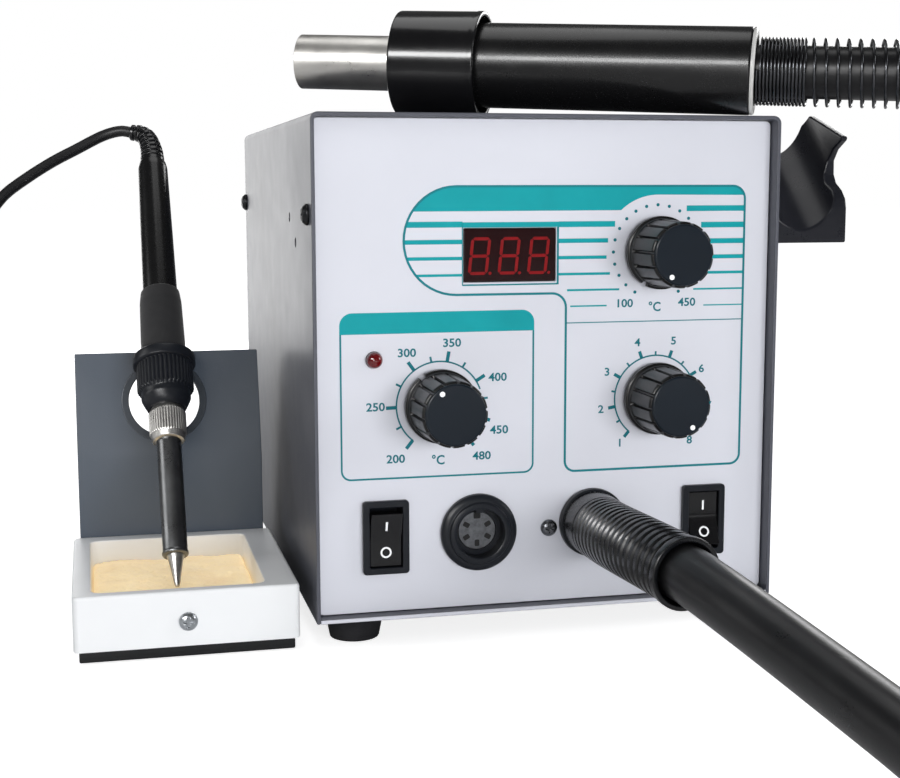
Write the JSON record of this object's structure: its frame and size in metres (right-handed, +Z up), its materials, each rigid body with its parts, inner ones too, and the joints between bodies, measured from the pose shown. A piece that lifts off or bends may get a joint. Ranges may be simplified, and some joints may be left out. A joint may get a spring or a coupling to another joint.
{
  "type": "hot air rework and soldering station",
  "caption": "Two-in-one bench station: steel case with dials, rockers and display, hot-air handpiece on its hose, side cradle, soldering iron in a stand with sponge tray.",
  "frame": {"origin": "on the table, below the middle of the box round the set without its hose, iron cord and plug", "axes": "+X across the front to the right as the user faces it, from the iron stand to the cradle; +Y from the front panel to the back; +Z up"},
  "size_m": [0.5304, 0.546, 0.2438],
  "materials": {
    "cover_gray": "fine satin powder coat",
    "panel_print": "satin printed panel",
    "screw_black": "black oxide",
    "screw_steel": "zinc plated",
    "foot_rubber": "matt",
    "display_red": "smoked red window",
    "led_red": "clear red",
    "board_green": "solder mask",
    "black_gloss": "moulded, slightly glossy",
    "black_plastic": "moulded satin",
    "knob_black": "moulded satin with a blue-gray cap",
    "pot_steel": "plated",
    "core_iron": "laminated, varnished",
    "coil_copper": "taped winding",
    "pump_alloy": "die cast",
    "tube_clear": "soft clear",
    "pipe_steel": "brushed stainless",
    "core_mica": "ceramic heater in mica",
    "spring_black": "black spring wire",
    "hose_rubber": "silicone, satin",
    "stand_paint": "satin powder coat",
    "tray_white": "white powder coat",
    "sponge_yellow": "cellulose sponge",
    "base_black": "matt",
    "tip_plated": "plated tip",
    "sleeve_foam": "foamed, matt"
  },
  "bodies": {
    "station": {"chassis_pan": "cover_gray", "front_panel": "panel_print", "top_cover": "cover_gray", "cover_screws": "screw_black", "rubber_feet": "foot_rubber", "foot_screws": "screw_steel", "display_window": "display_red", "display_module": "black_gloss", "display_board": "board_green", "heater_led": "led_red", "power_switch_body": "black_gloss", "air_switch_body": "black_gloss", "iron_temp_pot": "pot_steel", "air_temp_pot": "pot_steel", "air_flow_pot": "pot_steel", "iron_socket": "black_plastic", "socket_insert": "pot_steel", "hose_gland": "black_plastic", "panel_screw": "screw_black", "transformer_core": "core_iron", "transformer_coil": "coil_copper", "pump_body": "pump_alloy", "pump_mounts": "foot_rubber", "inner_air_tube": "tube_clear", "control_board": "board_green", "mains_inlet": "black_plastic", "fuse_holder": "black_plastic", "cradle": "black_plastic", "cradle_screws": "screw_steel", "hose": "hose_rubber", "hose_relief": "black_plastic", "stand_plate": "stand_paint", "stand_ring": "pot_steel", "sponge_tray": "tray_white", "sponge": "sponge_yellow", "stand_base": "base_black", "stand_screws": "screw_steel", "iron_cord": "hose_rubber", "iron_cord_coil": "hose_rubber", "iron_plug": "black_plastic"},
    "power_switch": {"power_rocker": "black_gloss"},
    "air_switch": {"air_rocker": "black_gloss"},
    "iron_temp_dial": {"iron_temp_knob": "knob_black"},
    "air_temp_dial": {"air_temp_knob": "knob_black"},
    "air_flow_dial": {"air_flow_knob": "knob_black"},
    "handpiece": {"nozzle_pipe": "pipe_steel", "handle_collar": "black_plastic", "grip_tube": "black_plastic", "tail_ring": "black_plastic", "heater_core": "core_mica", "tail_spring": "spring_black", "tail_hose": "hose_rubber"},
    "soldering_iron": {"iron_tip": "tip_plated", "iron_barrel": "pipe_steel", "barrel_nut": "pipe_steel", "iron_collar": "black_plastic", "iron_sleeve": "sleeve_foam", "iron_handle": "black_plastic", "iron_relief": "black_plastic"}
  },
  "joints": [
    {"name": "power_press", "type": "hinge", "parent": "station", "child": "power_switch", "pos_m": [-0.04294, -0.09481, 0.041], "axis": [1, 0, 0], "range_deg": [-18, 0]},
    {"name": "air_press", "type": "hinge", "parent": "station", "child": "air_switch", "pos_m": [0.08606, -0.09481, 0.041], "axis": [1, 0, 0], "range_deg": [0, 18]},
    {"name": "iron_temp_turn", "type": "hinge", "parent": "station", "child": "iron_temp_dial", "pos_m": [-0.02144, -0.10301, 0.0907], "axis": [0, 1, 0], "range_deg": [-117, 183]},
    {"name": "air_temp_turn", "type": "hinge", "parent": "station", "child": "air_temp_dial", "pos_m": [0.06586, -0.10301, 0.1476], "axis": [0, 1, 0], "range_deg": [0, 300]},
    {"name": "air_flow_turn", "type": "hinge", "parent": "station", "child": "air_flow_dial", "pos_m": [0.06586, -0.10301, 0.0907], "axis": [0, 1, 0], "range_deg": [-300, 0]},
    {"name": "handpiece_lift", "type": "slide", "parent": "station", "child": "handpiece", "axis": [0, 0, 1], "range_m": [0, 0.12]},
    {"name": "iron_lift", "type": "slide", "parent": "station", "child": "soldering_iron", "axis": [0, -0.809, 0.5878], "range_m": [0, 0.1]}
  ]
}
